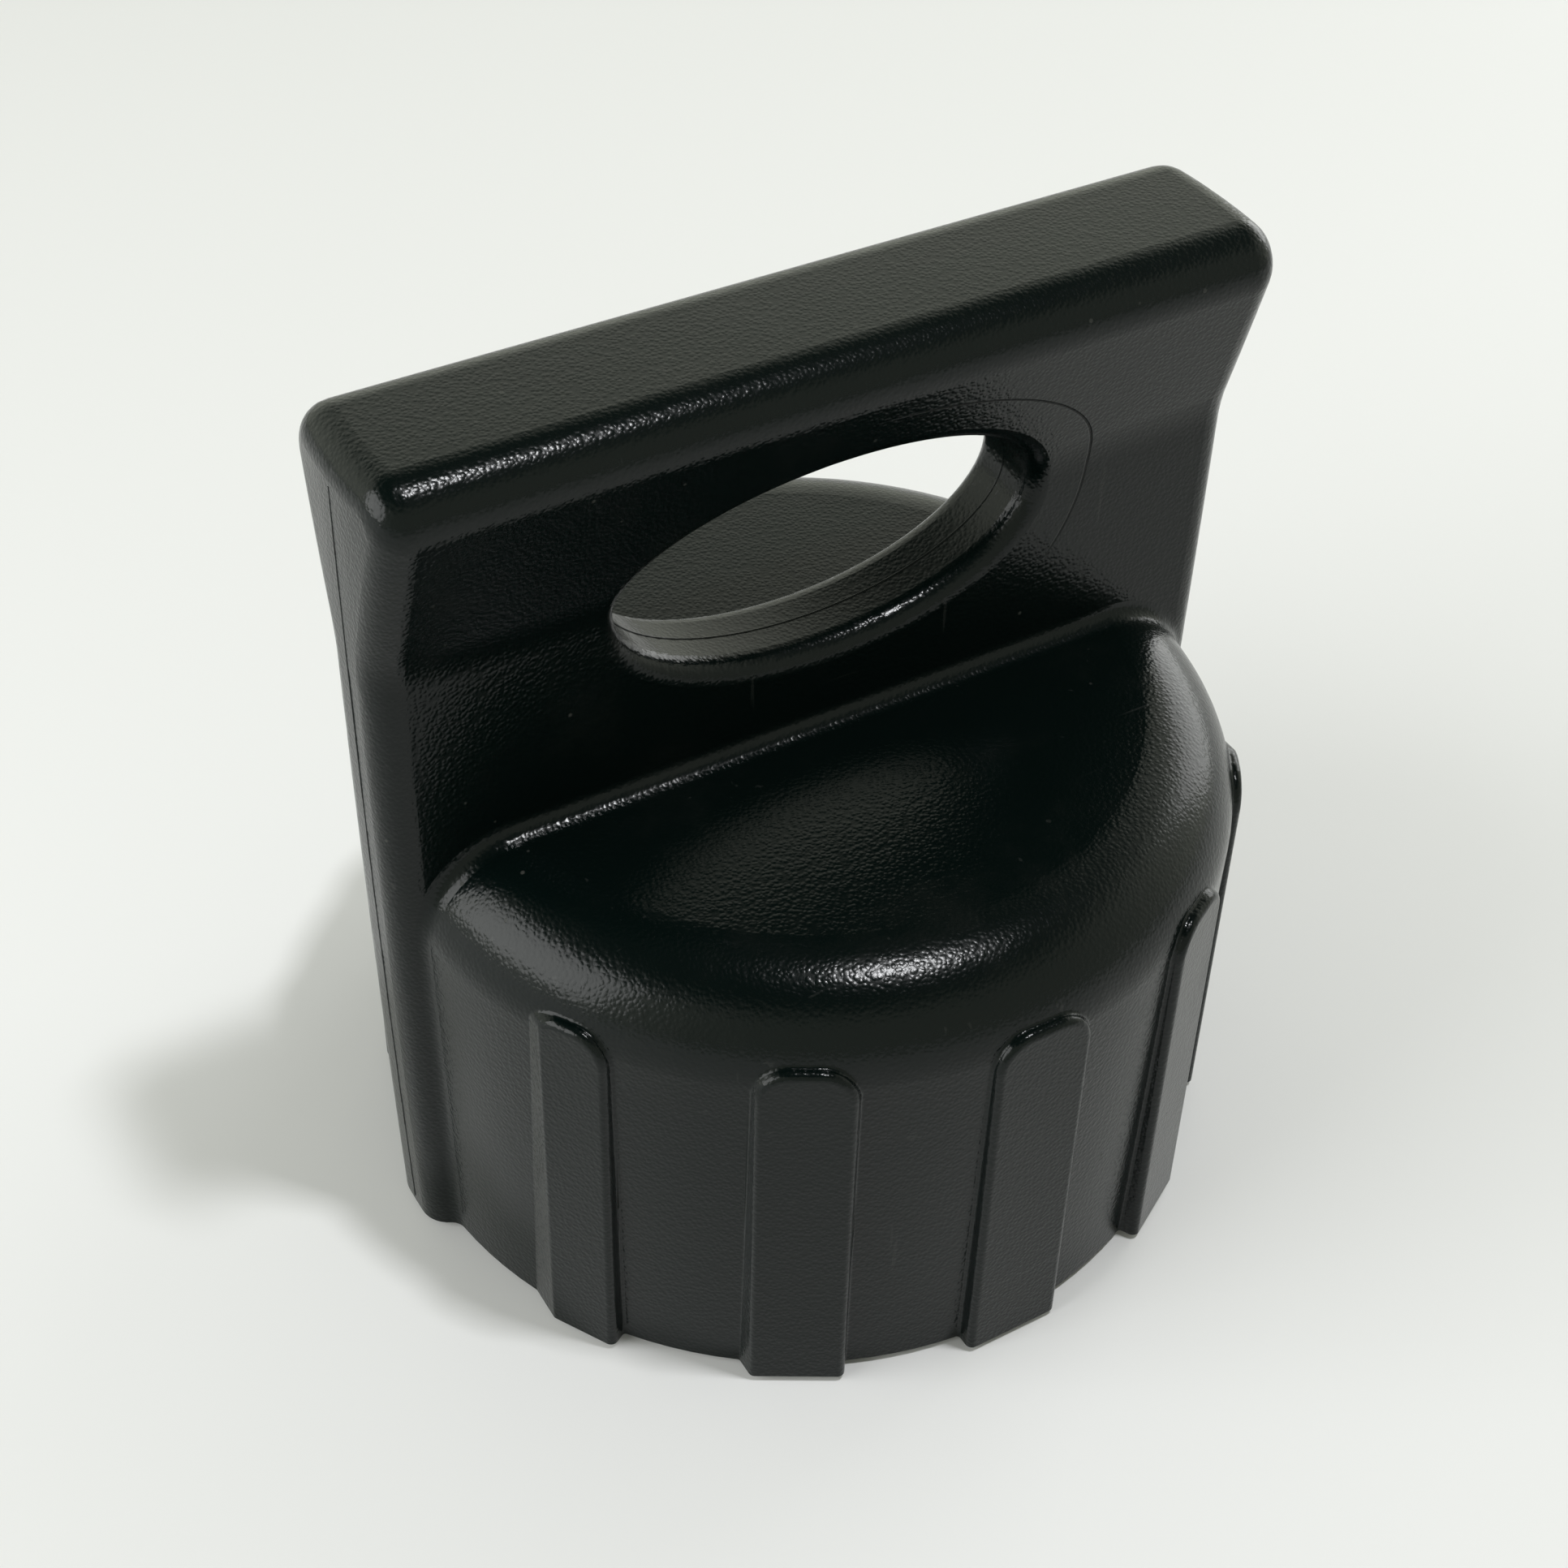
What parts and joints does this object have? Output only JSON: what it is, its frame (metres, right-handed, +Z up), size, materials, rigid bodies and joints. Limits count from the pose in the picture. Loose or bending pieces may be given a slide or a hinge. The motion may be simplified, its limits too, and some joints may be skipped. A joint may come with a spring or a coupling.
{
  "type": "kettlebell",
  "caption": "Kettlebell with a round ribbed plastic body and an upright plate handle with an oval grip hole, filled with cast weight and closed by a screwed base",
  "frame": {"origin": "on the floor, under the centre of the round body", "axes": "+Z up; +X along the handle plate; +Y through the grip hole"},
  "size_m": [0.1906, 0.1832, 0.1967],
  "materials": {
    "shell_plastic": "satin black, fine leather grain",
    "fill_cast": "rough cast filling",
    "rod_steel": "plain drawn bar",
    "anchor_brass": "turned",
    "base_plastic": "smooth satin black",
    "gasket_rubber": "matte",
    "screw_steel": "zinc plated",
    "pad_rubber": "matte"
  },
  "bodies": {
    "root": {"shell": "shell_plastic", "weight_fill": "fill_cast", "handle_rod": "rod_steel", "screw_anchors": "anchor_brass", "base_plate": "base_plastic", "base_gasket": "gasket_rubber", "base_screws": "screw_steel", "floor_pad": "pad_rubber"}
  },
  "joints": []
}
